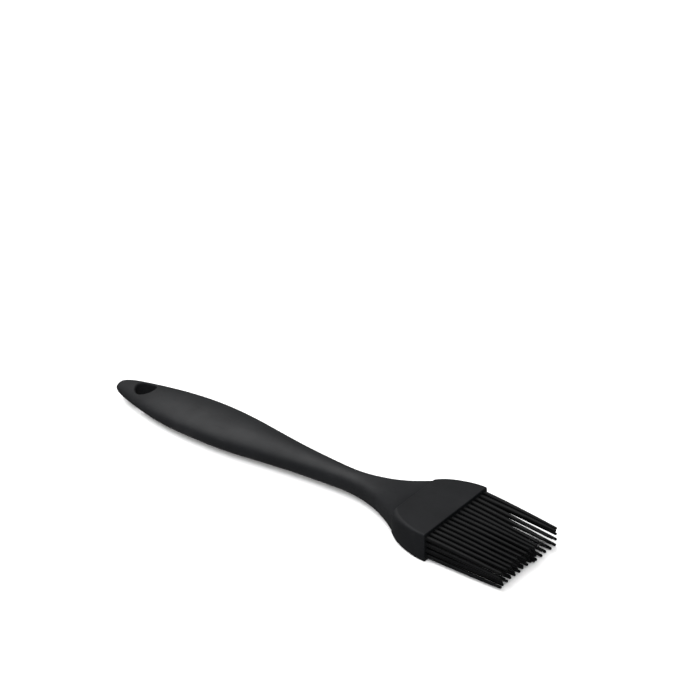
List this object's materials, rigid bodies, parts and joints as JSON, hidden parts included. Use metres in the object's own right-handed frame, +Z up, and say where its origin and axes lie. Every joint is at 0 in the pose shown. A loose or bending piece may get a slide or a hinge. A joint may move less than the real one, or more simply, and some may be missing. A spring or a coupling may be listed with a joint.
{
  "type": "pastry brush",
  "caption": "Flat pastry brush: bellied soft-grip handle with a hanging hole, flaring to a removable silicone head whose mouth holds rows of flexible bristles.",
  "frame": {"origin": "middle of the overall box, on the flat surface that the brush lies on", "axes": "+X along the brush from the hanging hole to the bristle tips, +Y across the width of the head, +Z up through the head's flat top"},
  "size_m": [0.225, 0.0444, 0.0135],
  "materials": {
    "core_nylon": "moulded black nylon, fine texture",
    "grip_skin": "black soft-touch skin, slightly satin",
    "boot_silicone": "matte black silicone",
    "bristle_silicone": "matte black silicone"
  },
  "bodies": {
    "handle": {"handle_core": "core_nylon", "handle_grip": "grip_skin"},
    "head": {"head_boot": "boot_silicone"},
    "row_1": {"bristle_row_1": "bristle_silicone"},
    "row_2": {"bristle_row_2": "bristle_silicone"},
    "row_3": {"bristle_row_3": "bristle_silicone"},
    "row_4": {"bristle_row_4": "bristle_silicone"}
  },
  "joints": [
    {"name": "head_pull", "type": "slide", "parent": "handle", "child": "head", "axis": [1, 0, 0], "range_m": [0, 0.02]},
    {"name": "flex_1", "type": "hinge", "parent": "head", "child": "row_1", "pos_m": [0.07545, 0, 0.0111], "axis": [0, 1, 0], "range_deg": [-25, 25], "stiffness_Nm_per_rad": 0.0025},
    {"name": "flex_2", "type": "hinge", "parent": "head", "child": "row_2", "pos_m": [0.07545, 0, 0.0082], "axis": [0, 1, 0], "range_deg": [-25, 25], "stiffness_Nm_per_rad": 0.0025},
    {"name": "flex_3", "type": "hinge", "parent": "head", "child": "row_3", "pos_m": [0.07545, 0, 0.0053], "axis": [0, 1, 0], "range_deg": [-25, 25], "stiffness_Nm_per_rad": 0.0025},
    {"name": "flex_4", "type": "hinge", "parent": "head", "child": "row_4", "pos_m": [0.07545, 0, 0.0024], "axis": [0, 1, 0], "range_deg": [-25, 25], "stiffness_Nm_per_rad": 0.0025}
  ],
  "couplings": [
    {"joint": "flex_2", "follows": "flex_1", "ratio": 1},
    {"joint": "flex_3", "follows": "flex_1", "ratio": 1},
    {"joint": "flex_4", "follows": "flex_1", "ratio": 1}
  ]
}
